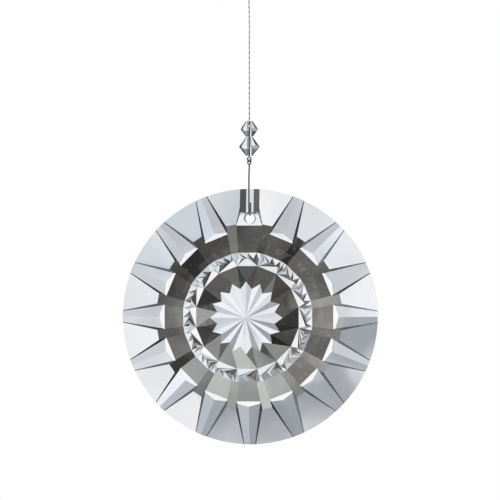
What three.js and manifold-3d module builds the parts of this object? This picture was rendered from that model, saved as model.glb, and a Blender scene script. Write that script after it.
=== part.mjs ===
// A crystal suncatcher: a cut crystal disc on a long wire hook, two bicone beads and a thin cord.
// Millimetres. +Z is up and the disc's front faces -Y. The origin is the inside top of the cord's
// loop, where the nail or hook that holds the suncatcher bears.
import * as THREE from 'three';
import { mergeVertices } from 'three/addons/utils/BufferGeometryUtils.js';
import Module from 'manifold-3d';

const wasm = await Module();
wasm.setup();

// Crystal disc: a flat back and a faceted front. Radii are shares of the disc's radius, tilts are
// degrees from the back, and heights are above the middle of the rim.
const DISC_RADIUS = 38;
const DISC_SETBACK = 4; // the rim's middle behind the cord's line, which brings the disc's weight under it
const SECTORS = 16;
const PITCH = 360 / SECTORS;
const RIM_HALF = 1.8; // half the thickness of the rim
const WINDOW_TILT = 16;
const WINDOW_INNER = 0.735; // inner edge of the outer windows
const SHOULDER_TILT = 38;
const SHOULDER_OUTER = 0.726; // where the shoulder rises from the narrow ledge inside the windows
const SHOULDER_TURN = 8; // half the turn of the shoulder's facets that meet the ridges, in degrees
const EDGE_RADIUS = 0.505; // where the shoulder meets the band of small facets
const BAND_TILT = 14;
const BAND_MIDDLE = 0.455;
const BAND_SIDES = 128;
const BAND_LIFT = 0.36; // how far every other point of the band's middle stands up
const BAND_UNEVEN = 0.08; // and how far the points stray from one height
const KITE_TILT = 44;
const KITE_RADIUS = 0.405; // outer edge of the kite facets
const STAR_TILT = 8;
const STAR_FOLD = 2; // how much steeper the star's points fall than its hollows
const STAR_TIP = 0.28;
const STAR_HOLLOW = 0.225;

// The sixteen radial ridges across the windows
const RIDGE_TILT = 6; // of the roof, to each side
const RIDGE_WALL = 58;
const RIDGE_FOOT = 0.664;
const RIDGE_LEDGE = 0.01; // width of the flat ledge at a ridge's foot
const RIDGE_FOOT_WIDTH = 3.4; // half width of the roof at the foot and at the rim
const RIDGE_RIM_WIDTH = 1.6;
const RIDGE_RIM_RISE = 0.25;

// The hole, its flat, and the groove for the wire from the flat to the rim
const HOLE_RADIUS = 1.5;
const HOLE_FLARE = 0.15;
const HOLE_HEIGHT = 29.2; // hole's centre above the disc's centre
const FLAT_END = 0.813; // outer end of the flat
const GROOVE_DEPTH = 1.3;
const GROOVE_HALF_WIDTH = 1.1; // at its bottom
const GROOVE_WALL = 32;

// Wire, pin and beads
const WIRE_RADIUS = 0.22;
const EYE_WIRE_RADIUS = 0.2;
const EYE_RADIUS = 0.68;
const LINK_GAP = 0.1; // play between two linked wires
const SEAT_GAP = 0.15; // play between pieces that bear on each other
const LEG_GAP = 0.4; // between the disc and the wire's leg in front of it and tail behind it
const LEG_TOP = 41.5; // where the leg starts to close in to the eye
const TAIL_TOP = 33.5;
const BEND = 0.9; // radius of the wire's bends at the hole
const BEAD_SIDES = 8;
const LOWER_BEAD = { bottom: 47.75, height: 5.55, radius: 3.1, end: 1.0 };
const UPPER_BEAD = { bottom: 53.4, height: 4.65, radius: 2.65, end: 1.0 };
const BEAD_BORE = 0.5;

// Cord
const CORD_RADIUS = 0.225;
const CORD_ENTRY = 1.6; // depth of the cord's lower end inside the upper bead
const KNOT_HEIGHT = 97; // knot's centre above the disc's centre
const LOOP_HEIGHT = 14;
const LOOP_HALF_WIDTH = 3.6;

const radians = THREE.MathUtils.degToRad;
const slope = (degrees) => Math.tan(radians(degrees));

const windowHeight = (radius) => RIM_HALF + (DISC_RADIUS - radius) * slope(WINDOW_TILT);

const LEDGE_HEIGHT = windowHeight(WINDOW_INNER * DISC_RADIUS);

const shoulderHeight = (radius) => (
  LEDGE_HEIGHT + (SHOULDER_OUTER * DISC_RADIUS - radius) * slope(SHOULDER_TILT)
);

const RIDGE_TOP = shoulderHeight(RIDGE_FOOT * DISC_RADIUS);

// Heights of the raised centre's zones, each from the one outside it.
function zoneHeights() {
  const rise = (outer, inner, tilt) => (outer - inner) * DISC_RADIUS * slope(tilt);
  const starMiddle = (STAR_TIP + STAR_HOLLOW) / 2;
  const edge = shoulderHeight(EDGE_RADIUS * DISC_RADIUS);
  const band = edge + rise(EDGE_RADIUS, BAND_MIDDLE, BAND_TILT);
  const kite = edge + rise(EDGE_RADIUS, KITE_RADIUS, BAND_TILT);
  const apex = kite + rise(KITE_RADIUS, starMiddle, KITE_TILT) + rise(starMiddle, 0, STAR_TILT);
  const tip = apex - rise(STAR_TIP, 0, STAR_TILT + STAR_FOLD);
  const hollow = apex - rise(STAR_HOLLOW, 0, STAR_TILT);
  return { edge, band, kite, tip, hollow, apex };
}

// A closed three.js geometry as a solid that can be joined and cut.
function toSolid(geometry) {
  const bare = geometry.clone();
  bare.deleteAttribute('normal');
  bare.deleteAttribute('uv');
  const merged = mergeVertices(bare, 1e-5);
  const solid = new wasm.Manifold(new wasm.Mesh({
    numProp: 3,
    vertProperties: new Float32Array(merged.attributes.position.array),
    triVerts: new Uint32Array(merged.index.array),
  }));
  if (solid.volume() <= 0) throw new Error('a piece is inside out');
  return solid;
}

function toGeometry(solid) {
  const mesh = solid.getMesh();
  const geometry = new THREE.BufferGeometry();
  geometry.setAttribute('position', new THREE.BufferAttribute(new Float32Array(mesh.vertProperties), 3));
  geometry.setIndex(new THREE.BufferAttribute(new Uint32Array(mesh.triVerts), 1));
  geometry.computeVertexNormals();
  return geometry;
}

const joined = (solids) => solids.reduce((whole, solid) => whole.add(solid));

// A solid turned about the disc's axis, from [radius, height] points that run from back to front.
function turned(profile, sides, phase = 0) {
  const points = profile.map(([radius, height]) => new THREE.Vector2(radius, height));
  return toSolid(new THREE.LatheGeometry(points, sides, radians(phase), 2 * Math.PI));
}

// A tube of round section along a curve.
function tube(curve, radius, steps, sides = 8) {
  const section = new THREE.Shape();
  section.absarc(0, 0, radius, 0, 2 * Math.PI, false);
  const geometry = new THREE.ExtrudeGeometry(section, {
    steps,
    extrudePath: curve,
    curveSegments: sides / 2,
    bevelEnabled: false,
  });
  return toSolid(geometry);
}

// Points of one ring of a cut face: an angle clockwise from the top, a radius and a height.
function ring(count, radius, height, phase = 0) {
  return Array.from({ length: count }, (_, i) => ({ angle: phase + (360 * i) / count, radius, height }));
}

// Corners of the shoulder's facets at one radius, and the middle of each side between them.
function shoulderRing(radius, height) {
  const wide = radius * Math.cos(radians(SHOULDER_TURN));
  const narrow = radius * Math.cos(radians(PITCH / 2 - SHOULDER_TURN));
  return Array.from({ length: SECTORS }, (_, k) => [
    { angle: k * PITCH, radius: wide, height },
    { angle: k * PITCH + SHOULDER_TURN, radius, height },
    { angle: (k + 0.5) * PITCH, radius: narrow, height },
    { angle: (k + 1) * PITCH - SHOULDER_TURN, radius, height },
  ]).flat();
}

// The rings of the raised centre, from its point out to its edge inside the windows, then the back.
function centreRings() {
  const heights = zoneHeights();
  const star = ring(2 * SECTORS, 0, 0).map((point, i) => ({
    angle: point.angle,
    radius: (i % 2 ? STAR_HOLLOW : STAR_TIP) * DISC_RADIUS,
    height: i % 2 ? heights.hollow : heights.tip,
  }));
  const band = ring(BAND_SIDES, BAND_MIDDLE * DISC_RADIUS, heights.band).map((point, i) => ({
    ...point,
    height: point.height + (i % 2 ? BAND_LIFT : 0) + BAND_UNEVEN * Math.sin(2.4 * i),
  }));
  const buried = 0.9 * DISC_RADIUS;
  return [
    [{ angle: 0, radius: 0, height: heights.apex }],
    star,
    ring(SECTORS, KITE_RADIUS * DISC_RADIUS, heights.kite, PITCH / 2),
    band,
    shoulderRing(EDGE_RADIUS * DISC_RADIUS, heights.edge),
    shoulderRing(buried, shoulderHeight(buried)),
    shoulderRing(buried, -RIM_HALF),
    [{ angle: 0, radius: 0, height: -RIM_HALF }],
  ];
}

// Triangles between two neighbouring rings, walked round together by angle. Either may be a point.
function stripBetween(inner, outer, innerStart, outerStart) {
  const faces = [];
  let i = 0;
  let j = 0;
  const angleAt = (points, n) => points[n % points.length].angle + 360 * Math.floor(n / points.length);
  const at = (points, start, n) => start + (n % points.length);
  const left = (points, n) => points.length > 1 && n < points.length;
  while (left(inner, i) || left(outer, j)) {
    if (left(inner, i) && (!left(outer, j) || angleAt(inner, i + 1) <= angleAt(outer, j + 1))) {
      faces.push([at(inner, innerStart, i), at(outer, outerStart, j), at(inner, innerStart, i + 1)]);
      i += 1;
    } else {
      faces.push([at(inner, innerStart, i), at(outer, outerStart, j), at(outer, outerStart, j + 1)]);
      j += 1;
    }
  }
  return faces;
}

// A closed solid from rings of points, from its front point out and round to its back point.
function ringedSolid(rings) {
  const positions = [];
  const indices = [];
  const starts = rings.map((points) => {
    const start = positions.length / 3;
    for (const { angle, radius, height } of points) {
      const turn = radians(angle);
      positions.push(radius * Math.sin(turn), -height, radius * Math.cos(turn));
    }
    return start;
  });
  for (let k = 0; k + 1 < rings.length; k += 1) {
    for (const [a, b, c] of stripBetween(rings[k], rings[k + 1], starts[k], starts[k + 1])) {
      indices.push(a, c, b);
    }
  }
  const geometry = new THREE.BufferGeometry();
  geometry.setAttribute('position', new THREE.Float32BufferAttribute(positions, 3));
  geometry.setIndex(indices);
  return toSolid(geometry);
}

// Half width, edge height and crest height of a ridge at a radius. Its edges run into the ledge at
// its foot.
function ridgeSection(radius) {
  const ledge = (RIDGE_FOOT + RIDGE_LEDGE) * DISC_RADIUS;
  const along = THREE.MathUtils.mapLinear(radius, ledge, DISC_RADIUS, 0, 1);
  const halfWidth = THREE.MathUtils.lerp(RIDGE_FOOT_WIDTH, RIDGE_RIM_WIDTH, along);
  const footRise = RIDGE_TOP - windowHeight(ledge);
  const edge = windowHeight(radius) + THREE.MathUtils.lerp(footRise, RIDGE_RIM_RISE, along);
  return { halfWidth, edge, crest: edge + halfWidth * slope(RIDGE_TILT) };
}

const FLAT_HEIGHT = ridgeSection(FLAT_END * DISC_RADIUS).crest;

// A straight bar that runs outwards, given by its section [across, depth] at a radius.
function radialBar(section, from, to) {
  const ends = [from, to].map((radius) => section(radius).map(([across, depth]) => [across, depth, radius]));
  const sides = ends[0].length;
  const indices = [];
  for (let k = 0; k < sides; k += 1) {
    const next = (k + 1) % sides;
    indices.push(k, next, next + sides, k, next + sides, k + sides);
    if (k > 0 && k < sides - 1) indices.push(0, k + 1, k, sides, k + sides, k + sides + 1);
  }
  const geometry = new THREE.BufferGeometry();
  geometry.setAttribute('position', new THREE.Float32BufferAttribute(ends.flat(2), 3));
  geometry.setIndex(indices);
  return toSolid(geometry);
}

// A slab as thick as the disc, from its back up to a height.
function slab(height) {
  const geometry = new THREE.BoxGeometry(3 * DISC_RADIUS, height + RIM_HALF, 3 * DISC_RADIUS);
  geometry.translate(0, (RIM_HALF - height) / 2, 0);
  return toSolid(geometry);
}

// One radial ridge: a low roof and steep walls, wider at its foot.
function ridge() {
  const bar = radialBar((radius) => {
    const { halfWidth, edge, crest } = ridgeSection(radius);
    const base = halfWidth + (edge + RIM_HALF) / slope(RIDGE_WALL);
    return [[0, -crest], [halfWidth, -edge], [base, RIM_HALF], [-base, RIM_HALF], [-halfWidth, -edge]];
  }, 0.5 * DISC_RADIUS, 1.05 * DISC_RADIUS);
  return bar.intersect(slab(RIDGE_TOP));
}

// The groove that the wire lies over, from the flat out past the rim.
function groove() {
  return radialBar((radius) => {
    const bottom = windowHeight(radius) - GROOVE_DEPTH;
    const top = bottom + 3 * GROOVE_DEPTH;
    const mouth = GROOVE_HALF_WIDTH + (top - bottom) / slope(GROOVE_WALL);
    return [[-mouth, -top], [mouth, -top], [GROOVE_HALF_WIDTH, -bottom], [-GROOVE_HALF_WIDTH, -bottom]];
  }, FLAT_END * DISC_RADIUS, 1.05 * DISC_RADIUS);
}

// The drilled hole, opened out a little at both faces.
function hole() {
  const far = DISC_RADIUS / 2;
  const mouth = HOLE_RADIUS + HOLE_FLARE;
  return turned([
    [0, -far],
    [mouth + far - FLAT_HEIGHT, -far],
    [mouth, -FLAT_HEIGHT],
    [HOLE_RADIUS, HOLE_FLARE - FLAT_HEIGHT],
    [HOLE_RADIUS, RIM_HALF - HOLE_FLARE],
    [mouth, RIM_HALF],
    [mouth + far - RIM_HALF, far],
    [0, far],
  ], 24).translate([0, 0, HOLE_HEIGHT]);
}

function crystalDisc() {
  const beyond = DISC_RADIUS * 1.06;
  const windows = turned([
    [0, -windowHeight(0)],
    [beyond, -windowHeight(beyond)],
    [beyond, RIM_HALF],
    [0, RIM_HALF],
  ], SECTORS).intersect(slab(LEDGE_HEIGHT));
  const ridges = Array.from({ length: SECTORS - 1 }, (_, k) => ridge().rotate([0, (k + 1) * PITCH, 0]));
  const drilled = ridge().intersect(slab(FLAT_HEIGHT));
  const blank = toSolid(new THREE.CylinderGeometry(DISC_RADIUS, DISC_RADIUS, 2 * DISC_RADIUS, 128));
  const whole = joined([windows, ringedSolid(centreRings()), drilled, ...ridges]).intersect(blank);
  return whole.subtract(hole()).subtract(groove()).translate([0, DISC_SETBACK, 0]);
}

// A bicone bead, drilled along its axis.
function bead({ bottom, height, radius, end }) {
  const points = [
    [BEAD_BORE, 0],
    [end, 0],
    [radius, height * 0.48],
    [end, height],
    [BEAD_BORE, height],
    [BEAD_BORE, 0],
  ].map(([across, up]) => new THREE.Vector2(across, up));
  const geometry = new THREE.LatheGeometry(points, BEAD_SIDES);
  geometry.rotateX(Math.PI / 2);
  geometry.translate(0, 0, bottom);
  return toSolid(geometry);
}

// A closed wire ring that stands upright, turned about Z.
function eye(height, turn) {
  const geometry = new THREE.TorusGeometry(EYE_RADIUS, EYE_WIRE_RADIUS, 8, 24);
  geometry.rotateX(Math.PI / 2);
  geometry.rotateZ(radians(turn));
  geometry.translate(0, 0, height);
  return toSolid(geometry);
}

const pinEyeHeight = LOWER_BEAD.bottom - SEAT_GAP - EYE_WIRE_RADIUS - EYE_RADIUS;
const hookEyeHeight = pinEyeHeight - 2 * EYE_RADIUS + 2 * EYE_WIRE_RADIUS + LINK_GAP;
const cordStart = UPPER_BEAD.bottom + UPPER_BEAD.height - CORD_ENTRY;

function eyePin() {
  const foot = pinEyeHeight + EYE_RADIUS;
  const top = cordStart - 2 * SEAT_GAP;
  const shank = new THREE.CylinderGeometry(EYE_WIRE_RADIUS, EYE_WIRE_RADIUS, top - foot, 8);
  shank.rotateX(Math.PI / 2);
  shank.translate(0, 0, (top + foot) / 2);
  return eye(pinEyeHeight, 45).add(toSolid(shank));
}

// The wire hook: an eye, a straight leg down the disc's front, and a tail up behind it from the hole.
function hookWire() {
  const bearing = HOLE_HEIGHT + HOLE_RADIUS - SEAT_GAP - WIRE_RADIUS;
  const legDepth = DISC_SETBACK - FLAT_HEIGHT - LEG_GAP - WIRE_RADIUS;
  const tailDepth = DISC_SETBACK + RIM_HALF + LEG_GAP + WIRE_RADIUS;
  const neck = hookEyeHeight - EYE_RADIUS;
  const bend = (depth, share) => [0, depth - Math.sign(depth) * BEND * (1 - Math.sin(share * Math.PI / 2)),
    bearing + BEND * (1 - Math.cos(share * Math.PI / 2))];
  const points = [
    [0, 0, neck],
    [0, 0.3 * legDepth, neck - 1],
    [0, 0.9 * legDepth, LEG_TOP + 0.6],
    [0, legDepth, LEG_TOP - 1],
    [0, legDepth, (LEG_TOP + bearing) / 2],
    bend(legDepth, 1),
    bend(legDepth, 0.5),
    bend(legDepth, 0),
    bend(tailDepth, 0),
    bend(tailDepth, 0.5),
    bend(tailDepth, 1),
    [0, tailDepth, (TAIL_TOP + bearing) / 2],
    [0, tailDepth, TAIL_TOP],
  ];
  const path = new THREE.CatmullRomCurve3(points.map((p) => new THREE.Vector3(...p)), false, 'centripetal');
  return eye(hookEyeHeight, -45).add(tube(path, WIRE_RADIUS, 60));
}

// The cord: up from the bead to its knot, round the hanging loop and back into the knot.
const CORD_POINTS = [
  [0, 0, cordStart],
  [0, 0, cordStart + 0.25 * (KNOT_HEIGHT - cordStart)],
  [0, 0, cordStart + 0.5 * (KNOT_HEIGHT - cordStart)],
  [0, 0, cordStart + 0.75 * (KNOT_HEIGHT - cordStart)],
  [0, 0, KNOT_HEIGHT],
  [0.12 * LOOP_HALF_WIDTH, 0, KNOT_HEIGHT + 0.12 * LOOP_HEIGHT],
  [0.62 * LOOP_HALF_WIDTH, 0, KNOT_HEIGHT + 0.4 * LOOP_HEIGHT],
  [LOOP_HALF_WIDTH, 0, KNOT_HEIGHT + 0.72 * LOOP_HEIGHT],
  [0.72 * LOOP_HALF_WIDTH, 0, KNOT_HEIGHT + 0.92 * LOOP_HEIGHT],
  [0, 0, KNOT_HEIGHT + LOOP_HEIGHT],
  [-0.72 * LOOP_HALF_WIDTH, 0, KNOT_HEIGHT + 0.92 * LOOP_HEIGHT],
  [-LOOP_HALF_WIDTH, 0, KNOT_HEIGHT + 0.72 * LOOP_HEIGHT],
  [-0.62 * LOOP_HALF_WIDTH, 0, KNOT_HEIGHT + 0.4 * LOOP_HEIGHT],
  [-0.16 * LOOP_HALF_WIDTH, 0, KNOT_HEIGHT + 0.12 * LOOP_HEIGHT],
  [-0.04 * LOOP_HALF_WIDTH, 0, KNOT_HEIGHT + 0.04 * LOOP_HEIGHT],
];

function hangingCord() {
  const points = CORD_POINTS.map((p) => new THREE.Vector3(...p));
  const path = new THREE.CatmullRomCurve3(points, false, 'centripetal');
  const knot = new THREE.SphereGeometry(0.75, 12, 8);
  knot.scale(1, 0.85, 1.15);
  knot.translate(0, 0, KNOT_HEIGHT);
  return tube(path, CORD_RADIUS, 80).add(toSolid(knot));
}

function material(color, roughness, metalness = 0) {
  return new THREE.MeshStandardMaterial({ color, roughness, metalness });
}

function crystal() {
  const clear = material(0xf4f7fa, 0.02);
  clear.transparent = true;
  clear.opacity = 0.35;
  clear.flatShading = true;
  return clear;
}

const suncatcher = new THREE.Group();
for (const [name, solid, look] of [
  ['crystal_disc', crystalDisc(), crystal()],
  ['hook_wire', hookWire(), material(0x4a4a52, 0.3, 1)],
  ['eye_pin', eyePin(), material(0x5a5a62, 0.3, 1)],
  ['lower_bead', bead(LOWER_BEAD), crystal()],
  ['upper_bead', bead(UPPER_BEAD), crystal()],
  ['hanging_cord', hangingCord(), material(0xb4b4ba, 0.6)],
]) {
  const piece = new THREE.Mesh(toGeometry(solid), look);
  piece.name = name;
  suncatcher.add(piece);
}
suncatcher.position.z = CORD_RADIUS - KNOT_HEIGHT - LOOP_HEIGHT;

export default suncatcher;
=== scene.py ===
"""Looks of the crystal suncatcher: clear cut crystal, dark steel wire and a twisted silvery cord."""

import math

import bpy
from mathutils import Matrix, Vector


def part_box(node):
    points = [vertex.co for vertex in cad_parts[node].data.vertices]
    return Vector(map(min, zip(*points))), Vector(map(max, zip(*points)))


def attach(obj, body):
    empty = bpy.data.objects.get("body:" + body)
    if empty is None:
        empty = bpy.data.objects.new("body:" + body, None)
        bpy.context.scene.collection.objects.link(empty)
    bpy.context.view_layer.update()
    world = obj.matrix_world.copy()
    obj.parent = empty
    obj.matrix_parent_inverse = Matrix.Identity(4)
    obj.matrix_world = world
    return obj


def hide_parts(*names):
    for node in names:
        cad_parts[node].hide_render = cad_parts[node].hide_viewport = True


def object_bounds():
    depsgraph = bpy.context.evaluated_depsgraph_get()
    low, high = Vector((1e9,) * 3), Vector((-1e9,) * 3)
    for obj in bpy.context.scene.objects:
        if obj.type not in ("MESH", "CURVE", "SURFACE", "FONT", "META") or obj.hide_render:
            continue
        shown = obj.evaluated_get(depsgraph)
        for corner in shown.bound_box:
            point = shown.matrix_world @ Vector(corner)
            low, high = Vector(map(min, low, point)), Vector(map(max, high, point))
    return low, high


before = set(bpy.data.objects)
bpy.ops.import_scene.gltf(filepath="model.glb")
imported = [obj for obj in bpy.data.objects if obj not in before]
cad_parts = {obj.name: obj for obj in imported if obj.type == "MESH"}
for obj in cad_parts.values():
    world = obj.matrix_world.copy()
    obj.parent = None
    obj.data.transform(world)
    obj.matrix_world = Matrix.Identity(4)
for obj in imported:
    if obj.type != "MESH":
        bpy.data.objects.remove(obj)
cad_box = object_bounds()

MM = 0.001

# ---------------------------------------------------------------- places, all from the frame
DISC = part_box("crystal_disc")
DISC_CENTRE = Vector((  # in the plane of the cord, y = 0, which is in front of the disc's rim
    (DISC[0][0] + DISC[1][0]) / 2,
    0.0,
    (DISC[0][2] + DISC[1][2]) / 2,
))
BEAD_TOP = Vector(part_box("upper_bead")[1]).z
HOLE_HEIGHT = 29.2 * MM  # the hole's centre above the disc's centre
HOLE_REACH = 1.7 * MM  # a little more than the radius of the hole's mouths, 1.65 mm
HOLE_FACING = 0.9  # a face whose normal has this share or more along Y isn't the hole's wall
FROSTED_SLOT = 1  # the second of the disc's materials

# ---------------------------------------------------------------- camera
CAMERA_YAW = math.radians(4)  # how far the camera stands round towards +X
CAMERA_LENS = 200  # millimetres, like the sensor's width
SENSOR = 36
VIEW_WIDTH = 148.3 * MM  # width of the view at the disc
VIEW_RISE = 19.8 * MM  # middle of the view above the disc's centre
VIEW_SIDE = 0.2 * MM  # and to the right of it


def view_axes():
    """The camera's forward and right directions."""
    forward = Vector((-math.sin(CAMERA_YAW), math.cos(CAMERA_YAW), 0))
    right = Vector((math.cos(CAMERA_YAW), math.sin(CAMERA_YAW), 0))
    return forward, right


def add_camera():
    """The camera at the photograph's angle, level with the middle of its view."""
    forward, right = view_axes()
    data = bpy.data.cameras.new("camera")
    data.lens = CAMERA_LENS
    data.sensor_width = SENSOR
    data.clip_start = 0.01
    camera = bpy.data.objects.new("camera", data)
    target = DISC_CENTRE + right * VIEW_SIDE + Vector((0, 0, VIEW_RISE))
    distance = VIEW_WIDTH * CAMERA_LENS / SENSOR
    camera.location = target - forward * distance
    camera.rotation_euler = (math.pi / 2, 0, CAMERA_YAW)
    bpy.context.scene.collection.objects.link(camera)
    bpy.context.scene.camera = camera


add_camera()

# ---------------------------------------------------------------- cord
CORD_DIAMETER = 0.45 * MM
CORD_ENTRY = 1.6 * MM  # depth of the cord's lower end inside the upper bead
KNOT_HEIGHT = 97 * MM  # above the disc's centre
LOOP_HEIGHT = 14 * MM
LOOP_HALF_WIDTH = 3.6 * MM
CORD_STEP = 0.16 * MM
PLY_TURN = 3.0 * MM  # length of one turn of the cord's two plies
PLY_SIDES = 8
CURVE_DIVISIONS = 60  # of each stretch between two points of the route
KNOT_WRAPS = 3
KNOT_WRAP_RISE = 0.36 * MM
KNOT_RADIUS = 0.40 * MM  # of the wraps' centreline
KNOT_TAPER = 0.35  # share taken off that radius at both ends
KNOT_FLATNESS = 0.85  # the knot's size from front to back, as a share of its width
KNOT_THREAD_RADIUS = 0.42 * CORD_DIAMETER
KNOT_STEPS = 96


def cord_points():
    """The cord's route, the same points as in the part: straight up, round the loop, back."""
    start = BEAD_TOP - CORD_ENTRY
    knot = DISC_CENTRE.z + KNOT_HEIGHT
    points = [Vector((0, 0, start + share * (knot - start))) for share in (0, 0.25, 0.5, 0.75, 1)]
    for across, up in (
        (0.12, 0.12), (0.62, 0.40), (1, 0.72), (0.72, 0.92), (0, 1),
        (-0.72, 0.92), (-1, 0.72), (-0.62, 0.40), (-0.16, 0.12), (-0.04, 0.04),
    ):
        points.append(Vector((across * LOOP_HALF_WIDTH, 0, knot + up * LOOP_HEIGHT)))
    return points


def smooth_route(points, step):
    """A centripetal Catmull-Rom curve through the points, in steps of equal length."""
    ends = [2 * points[0] - points[1], *points, 2 * points[-1] - points[-2]]
    dense = []
    for a, b, c, d in zip(ends, ends[1:], ends[2:], ends[3:]):
        knots = [0.0]
        for p, q in ((a, b), (b, c), (c, d)):
            knots.append(knots[-1] + (q - p).length ** 0.5)
        t0, t1, t2, t3 = knots
        for n in range(CURVE_DIVISIONS):
            t = t1 + (t2 - t1) * n / CURVE_DIVISIONS
            ab = a.lerp(b, (t - t0) / (t1 - t0))
            bc = b.lerp(c, (t - t1) / (t2 - t1))
            cd = c.lerp(d, (t - t2) / (t3 - t2))
            low = ab.lerp(bc, (t - t0) / (t2 - t0))
            high = bc.lerp(cd, (t - t1) / (t3 - t1))
            dense.append(low.lerp(high, (t - t1) / (t2 - t1)))
    dense.append(points[-1])
    lengths = [0.0]
    for p, q in zip(dense, dense[1:]):
        lengths.append(lengths[-1] + (q - p).length)
    count = round(lengths[-1] / step)
    route, k = [], 0
    for n in range(count + 1):
        along = lengths[-1] * n / count
        while k < len(dense) - 2 and lengths[k + 1] < along:
            k += 1
        route.append(dense[k].lerp(dense[k + 1], (along - lengths[k]) / (lengths[k + 1] - lengths[k])))
    return route, lengths[-1]


def frames_along(route):
    """A point, its direction and two steady crosswise directions for each step of the route."""
    side = Vector((0, 1, 0))
    for n, point in enumerate(route):
        ahead = (route[min(n + 1, len(route) - 1)] - route[max(n - 1, 0)]).normalized()
        side = (side - ahead * side.dot(ahead)).normalized()
        yield point, ahead, side, ahead.cross(side)


def tube_mesh(name, strands, sides):
    """One mesh of round strands, each a list of (point, crosswise direction, other one, radius)."""
    vertices, faces = [], []
    for strand in strands:
        base = len(vertices)
        for point, side, other, radius in strand:
            for k in range(sides):
                turn = 2 * math.pi * k / sides
                vertices.append(point + radius * (math.cos(turn) * side + math.sin(turn) * other))
        rings = len(strand)
        for n in range(rings - 1):
            for k in range(sides):
                a, b = base + n * sides + k, base + n * sides + (k + 1) % sides
                faces.append((a, b, b + sides, a + sides))
        faces.append([base + k for k in reversed(range(sides))])
        faces.append([base + (rings - 1) * sides + k for k in range(sides)])
    mesh = bpy.data.meshes.new(name)
    mesh.from_pydata(vertices, [], faces)
    mesh.polygons.foreach_set("use_smooth", [True] * len(mesh.polygons))
    piece = bpy.data.objects.new(name, mesh)
    bpy.context.scene.collection.objects.link(piece)
    return piece


def make_cord():
    """Two plies twisted round each other along the whole route."""
    route, length = smooth_route(cord_points(), CORD_STEP)
    ply = CORD_DIAMETER / 4  # a ply's radius, and how far its middle lies off the cord's
    strands = [[], []]
    for n, (point, ahead, side, other) in enumerate(frames_along(route)):
        turn = 2 * math.pi * n * CORD_STEP / PLY_TURN
        for strand, phase in zip(strands, (0, math.pi)):
            out = math.cos(turn + phase) * side + math.sin(turn + phase) * other
            strand.append((point + ply * out, out, ahead.cross(out), ply))
    return tube_mesh("twisted_cord", strands, PLY_SIDES), route, length


def make_knot():
    """Close wraps of the cord round itself, narrower at both ends and a little flattened."""
    centre = Vector((0, 0, DISC_CENTRE.z + KNOT_HEIGHT))
    route = []
    for n in range(KNOT_STEPS + 1):
        share = n / KNOT_STEPS
        turn = 2 * math.pi * KNOT_WRAPS * share
        across = KNOT_RADIUS * (1 - KNOT_TAPER * (2 * share - 1) ** 4)
        deep = KNOT_FLATNESS * across
        up = KNOT_WRAPS * KNOT_WRAP_RISE * (share - 0.5)
        route.append(centre + Vector((across * math.cos(turn), deep * math.sin(turn), up)))
    strand = [(p, side, other, KNOT_THREAD_RADIUS) for p, _, side, other in frames_along(route)]
    return tube_mesh("cord_knot", [strand], PLY_SIDES)


cord, cord_route, cord_length = make_cord()
knot = make_knot()
for piece in (cord, knot):
    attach(piece, "root")
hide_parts("hanging_cord")
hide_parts("hanging_cord")

# ---------------------------------------------------------------- node helpers


class Nodes:
    """A small builder for one node tree."""

    def __init__(self, tree):
        self.tree = tree
        tree.nodes.clear()

    def add(self, kind, **settings):
        node = self.tree.nodes.new(kind)
        for name, value in settings.items():
            setattr(node, name, value)
        return node

    def link(self, source, target):
        self.tree.links.new(source, target)

    def put(self, value, socket):
        if isinstance(value, bpy.types.NodeSocket):
            self.link(value, socket)
        else:
            socket.default_value = value

    def math(self, operation, *values):
        node = self.add("ShaderNodeMath", operation=operation)
        for value, socket in zip(values, node.inputs):
            self.put(value, socket)
        return node.outputs[0]

    def mix(self, factor, a, b):
        """A mix of two colours. Inputs 6 and 7 and output 2 are the node's colour sockets."""
        node = self.add("ShaderNodeMix", data_type="RGBA")
        self.put(factor, node.inputs["Factor"])
        self.put(a, node.inputs[6])
        self.put(b, node.inputs[7])
        return node.outputs[2]

    def smooth(self, value, low, high, to_low=0.0, to_high=1.0):
        node = self.add("ShaderNodeMapRange", interpolation_type="SMOOTHSTEP")
        self.put(value, node.inputs["Value"])
        for socket, number in zip(
            ("From Min", "From Max", "To Min", "To Max"), (low, high, to_low, to_high)
        ):
            node.inputs[socket].default_value = number
        return node.outputs["Result"]

    def noise(self, scale, detail=2.0, vector=None):
        """Noise at the given vector, or over the object's own coordinates where there is none."""
        node = self.add("ShaderNodeTexNoise")
        node.inputs["Scale"].default_value = scale
        node.inputs["Detail"].default_value = detail
        if vector is None:
            vector = self.add("ShaderNodeTexCoord").outputs["Object"]
        self.link(vector, node.inputs["Vector"])
        return node.outputs["Fac"]

    def bump(self, height, distance):
        node = self.add("ShaderNodeBump")
        node.inputs["Strength"].default_value = 1.0
        node.inputs["Distance"].default_value = distance
        self.link(height, node.inputs["Height"])
        return node.outputs["Normal"]


def new_material(name):
    material = bpy.data.materials.new(name)
    material.use_nodes = True
    nodes = Nodes(material.node_tree)
    shader = nodes.add("ShaderNodeBsdfPrincipled")
    output = nodes.add("ShaderNodeOutputMaterial")
    nodes.link(shader.outputs[0], output.inputs["Surface"])
    return material, nodes, shader


def give(node_name, *materials):
    """Puts new materials on a CAD node, which keeps its mesh."""
    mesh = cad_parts[node_name].data
    mesh.materials.clear()
    for material in materials:
        mesh.materials.append(material)
    mesh.polygons.foreach_set("use_smooth", [False] * len(mesh.polygons))
    return mesh


# ---------------------------------------------------------------- materials
CRYSTAL_INDEX = 1.56
BEAD_INDEX = 1.15  # lower than real crystal, so that the small beads look light
CRYSTAL_TINT_SCALE = 90  # of the noise, like the scales below
FACET_WAVE = 0.03 * MM  # depth of the facets' unevenness
FACET_WAVE_SCALE = 110


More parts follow.
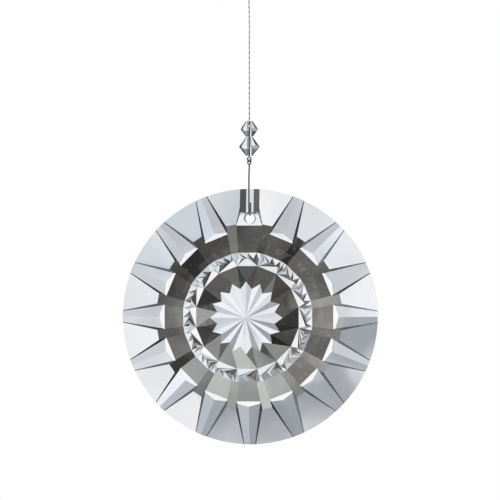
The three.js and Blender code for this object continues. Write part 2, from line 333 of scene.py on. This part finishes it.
def make_uneven(nodes, shader, tint, rough, relief):
    """Gives a surface an uneven tint, roughness and relief, each from a noise of its own scale.

    The tint is (scale, one colour, the other), rough is (scale, spread, lowest roughness) and the
    relief is (scale, depth).
    """
    tint_scale, one_colour, other_colour = tint
    rough_scale, spread, lowest = rough
    relief_scale, depth = relief
    colour = nodes.mix(nodes.noise(tint_scale), one_colour, other_colour)
    nodes.link(colour, shader.inputs["Base Color"])
    roughness = nodes.math("MULTIPLY_ADD", nodes.noise(rough_scale), spread, lowest)
    nodes.link(roughness, shader.inputs["Roughness"])
    nodes.link(nodes.bump(nodes.noise(relief_scale), depth), shader.inputs["Normal"])


def crystal(name, index):
    """Clear polished crystal, with the faint unevenness of hand-finished facets."""
    material, nodes, shader = new_material(name)
    tint_noise = nodes.noise(CRYSTAL_TINT_SCALE, detail=1.0)
    tint = nodes.mix(tint_noise, (0.97, 0.985, 1.0, 1), (1.0, 1.0, 1.0, 1))
    nodes.link(tint, shader.inputs["Base Color"])
    shader.inputs["Transmission Weight"].default_value = 1.0
    shader.inputs["IOR"].default_value = index
    shader.inputs["Roughness"].default_value = 0.0
    wave = nodes.bump(nodes.noise(FACET_WAVE_SCALE, detail=1.0), FACET_WAVE)
    nodes.link(wave, shader.inputs["Normal"])
    return material


def frosted_crystal():
    """The drill's matt wall inside the hole."""
    material, nodes, shader = new_material("frosted_crystal")
    shader.inputs["Transmission Weight"].default_value = 0.5
    shader.inputs["IOR"].default_value = CRYSTAL_INDEX
    make_uneven(
        nodes,
        shader,
        tint=(3000, (0.9, 0.92, 0.94, 1), (1.0, 1.0, 1.0, 1)),
        rough=(2500, 0.2, 0.35),
        relief=(4000, 0.02 * MM),
    )
    return material


def steel():
    """Dark drawn steel wire."""
    material, nodes, shader = new_material("dark_steel")
    shader.inputs["Metallic"].default_value = 1.0
    make_uneven(
        nodes,
        shader,
        tint=(900, (0.26, 0.24, 0.34, 1), (0.40, 0.38, 0.50, 1)),
        rough=(1800, 0.2, 0.22),
        relief=(3500, 0.01 * MM),
    )
    return material


def thread():
    """Silvery twisted thread."""
    material, nodes, shader = new_material("silver_thread")
    make_uneven(
        nodes,
        shader,
        tint=(1500, (0.12, 0.12, 0.14, 1), (0.30, 0.30, 0.33, 1)),
        rough=(2600, 0.25, 0.35),
        relief=(9000, 0.02 * MM),
    )
    return material


def mark_hole(mesh, slot):
    """Gives the faces of the drilled hole their own material slot."""
    for polygon in mesh.polygons:
        offset = polygon.center - DISC_CENTRE - Vector((0, 0, HOLE_HEIGHT))
        across = math.hypot(offset.x, offset.z)
        if across < HOLE_REACH and abs(polygon.normal.y) < HOLE_FACING:
            polygon.material_index = slot


disc_mesh = give("crystal_disc", crystal("clear_crystal", CRYSTAL_INDEX), frosted_crystal())
mark_hole(disc_mesh, FROSTED_SLOT)
bead_crystal = crystal("bead_crystal", BEAD_INDEX)
for bead in ("lower_bead", "upper_bead"):
    give(bead, bead_crystal)
wire = steel()
for piece in ("hook_wire", "eye_pin"):
    give(piece, wire)
cord_thread = thread()
for piece in (cord, knot):
    piece.data.materials.append(cord_thread)

# ---------------------------------------------------------------- studio
# A white backdrop, a little greyer at its very middle, falls off to dark walls with soft cards of
# light and shade. It is the same in front of the disc as behind it, except that the walls to the
# sides are lit behind the disc. The cards are fitted to the photo: they were chosen so that the
# facets come out about as light or dark as they do there. Each card is named and says how far it
# lies off the view's axis, its turn from straight up (clockwise behind the disc), its size, its
# soft edge (all in degrees) and its colour.
CARDS = {
    "ceiling": (24, 355, 9, 8, (0.33, 0.345, 0.33)),
    "ceiling_left": (26, 316, 3, 2, (0.31, 0.32, 0.30)),
    "ceiling_right": (21, 42, 3, 3, (0.32, 0.33, 0.32)),
    "right_wall": (21, 72, 3, 4, (0.13, 0.125, 0.12)),
    "right_gleam": (27, 100, 4, 3, (0.21, 0.21, 0.20)),
    "left_wall": (21, 275, 8, 3, (0.22, 0.215, 0.20)),
    "left_gleam": (21, 248, 3, 3, (0.26, 0.255, 0.24)),
    "left_gleam_high": (21, 293, 3, 1, (0.40, 0.39, 0.37)),
    "dark_left": (29, 255, 6, 1, (0.028, 0.026, 0.024)),
    "dark_left_middle": (28, 268, 5, 1, (0.026, 0.024, 0.022)),
    "dark_left_high": (29, 282, 6, 1, (0.035, 0.032, 0.03)),
    "dark_right_high": (27, 47, 3, 1, (0.16, 0.155, 0.15)),
    "dark_low_left": (30, 215, 6, 4, (0.055, 0.05, 0.045)),
    "dark_right": (22, 145, 5, 4, (0.06, 0.055, 0.05)),
    "grey_high": (11, 335, 5, 2, (0.36, 0.38, 0.41)),
    "grey_top": (8, 5, 2, 2, (0.34, 0.36, 0.39)),
    "grey_left": (8, 282, 2, 1, (0.36, 0.38, 0.41)),
    "grey_high_right": (10, 35, 2, 2, (0.46, 0.49, 0.52)),
    "grey_low_right": (10, 150, 2, 3, (0.56, 0.60, 0.65)),
}
BACKDROP = (  # degrees off the view's axis, and the colour there
    (0.0, (0.78, 0.82, 0.86)),
    (1.6, (0.98, 0.98, 0.98)),
    (4.0, (0.98, 0.98, 0.99)),
    (6.5, (0.90, 0.91, 0.93)),
    (9.0, (0.84, 0.86, 0.89)),
    (13.0, (0.66, 0.69, 0.73)),
    (17.5, (0.55, 0.58, 0.61)),
    (19.8, (0.12, 0.112, 0.10)),
    (31.0, (0.10, 0.10, 0.10)),
    (37.0, (0.045, 0.065, 0.08)),
    (60.0, (0.10, 0.10, 0.10)),
    (90.0, (0.14, 0.14, 0.14)),
)
LIT_WALL = (0.90, 0.90, 0.92)
LIT_WALL_EDGE = (46, 52)  # degrees off the view's axis
LIT_WALL_FULL = 0.1  # they grow from right angles to the view's axis up to this cosine off it
CLOUD_SCALE = 13  # of the studio's unevenness, with patches of about 4 degrees
CLOUD_CONTRAST = (0.36, 0.64)  # noise that counts as fully dark and fully light
CLOUD_EDGE = (5, 26)  # degrees off the view's axis between which it grows
CLOUD_DEPTH = (0.07, 0.75)  # share of the tone that it takes off or adds, inside and outside
FLOOR_RADIUS = 0.3
FLOOR_DROP = 0.4  # below the part's lowest point
FLOOR_SIDES = 64
LAMP_AIM = DISC_CENTRE + Vector((0, 0, 93 * MM))  # on the cord, just below its knot
LAMP_OFFSET = Vector((-0.10, -0.16, 0.06))  # to the left, in front and above
LAMP_SIZE = 0.08
LAMP_WATTS = 1.2


def add_world():
    """The studio, coloured by the direction in which it is seen from the disc."""
    world = bpy.data.worlds.new("studio")
    world.use_nodes = True
    bpy.context.scene.world = world
    nodes = Nodes(world.node_tree)
    forward, right = view_axes()
    coords = nodes.add("ShaderNodeTexCoord").outputs["Generated"]

    def dot(source, axis):
        node = nodes.add("ShaderNodeVectorMath", operation="DOT_PRODUCT")
        nodes.link(source, node.inputs[0])
        node.inputs[1].default_value = axis
        return node.outputs["Value"]

    # each direction along the main view's own axes, the half in front of the disc mirrored back
    combined = nodes.add("ShaderNodeCombineXYZ")
    nodes.link(dot(coords, right), combined.inputs["X"])
    nodes.link(nodes.math("ABSOLUTE", dot(coords, forward)), combined.inputs["Y"])
    nodes.link(dot(coords, (0, 0, 1)), combined.inputs["Z"])
    local = combined.outputs["Vector"]

    def degrees_from(direction):
        cosine = nodes.math("MINIMUM", dot(local, direction), 1.0)
        return nodes.math("MULTIPLY", nodes.math("ARCCOSINE", cosine), 180 / math.pi)

    # the backdrop and the cards
    off_axis = degrees_from((0, 1, 0))
    outermost = BACKDROP[-1][0]
    ramp = nodes.add("ShaderNodeValToRGB")
    elements = ramp.color_ramp.elements
    while len(elements) < len(BACKDROP):
        elements.new(0.5)
    for element, (angle, shade) in zip(elements, BACKDROP):
        element.position = angle / outermost
        element.color = (*shade, 1)
    nodes.link(nodes.math("DIVIDE", off_axis, outermost), ramp.inputs[0])
    colour = ramp.outputs[0]
    for off, turn, size, edge, shade in CARDS.values():
        a, t = math.radians(off), math.radians(turn)
        direction = (math.sin(a) * math.sin(t), math.cos(a), math.sin(a) * math.cos(t))
        inside = nodes.smooth(degrees_from(direction), size, size + edge, 1.0, 0.0)
        colour = nodes.mix(inside, colour, (*shade, 1))

    # lit walls to the sides, behind the disc only
    behind = nodes.smooth(dot(coords, forward), 0.0, LIT_WALL_FULL)
    lit_wall = nodes.math("MULTIPLY", nodes.smooth(off_axis, *LIT_WALL_EDGE), behind)
    colour = nodes.mix(lit_wall, colour, (*LIT_WALL, 1))

    # unevenness, slight on the backdrop and strong on the walls
    noise = nodes.noise(CLOUD_SCALE, detail=1.0, vector=local)
    cloud = nodes.smooth(noise, *CLOUD_CONTRAST, -1.0, 1.0)
    depth = nodes.smooth(off_axis, *CLOUD_EDGE, *CLOUD_DEPTH)
    uneven = nodes.math("MULTIPLY_ADD", cloud, depth, 1.0)
    scaled = nodes.add("ShaderNodeVectorMath", operation="SCALE")
    nodes.link(colour, scaled.inputs[0])
    nodes.link(uneven, scaled.inputs["Scale"])

    # the camera itself sees plain white
    camera_ray = nodes.add("ShaderNodeLightPath").outputs["Is Camera Ray"]
    shown = nodes.mix(camera_ray, scaled.outputs[0], (1, 1, 1, 1))
    background = nodes.add("ShaderNodeBackground")
    nodes.link(shown, background.inputs["Color"])
    output = nodes.add("ShaderNodeOutputWorld")
    nodes.link(background.outputs[0], output.inputs["Surface"])


def add_floor():
    """A round pale floor, well below the hanging disc."""
    mesh = bpy.data.meshes.new("floor")
    turns = [2 * math.pi * k / FLOOR_SIDES for k in range(FLOOR_SIDES)]
    rim = [(FLOOR_RADIUS * math.cos(turn), FLOOR_RADIUS * math.sin(turn), 0) for turn in turns]
    mesh.from_pydata(rim, [], [list(range(FLOOR_SIDES))])
    floor = bpy.data.objects.new("floor", mesh)
    floor.location.z = cad_box[0].z - FLOOR_DROP
    material, nodes, shader = new_material("pale_floor")
    tint = nodes.mix(nodes.noise(30), (0.80, 0.80, 0.80, 1), (0.86, 0.86, 0.86, 1))
    nodes.link(tint, shader.inputs["Base Color"])
    shader.inputs["Roughness"].default_value = 0.8
    mesh.materials.append(material)
    bpy.context.scene.collection.objects.link(floor)


def add_lamp(name, place, aim, size, watts):
    """A soft square lamp that isn't seen in or through the crystal.

    It lights what is matt: the cord, the hole's wall and the floor.
    """
    data = bpy.data.lights.new(name, "AREA")
    data.size = size
    data.energy = watts
    lamp = bpy.data.objects.new(name, data)
    lamp.location = place
    lamp.rotation_euler = (aim - place).to_track_quat("-Z", "Y").to_euler()
    lamp.visible_transmission = False
    lamp.visible_glossy = False
    bpy.context.scene.collection.objects.link(lamp)


add_world()
add_floor()
add_lamp("cord_lamp", LAMP_AIM + LAMP_OFFSET, LAMP_AIM, LAMP_SIZE, LAMP_WATTS)
bpy.context.scene.view_settings.view_transform = "Standard"
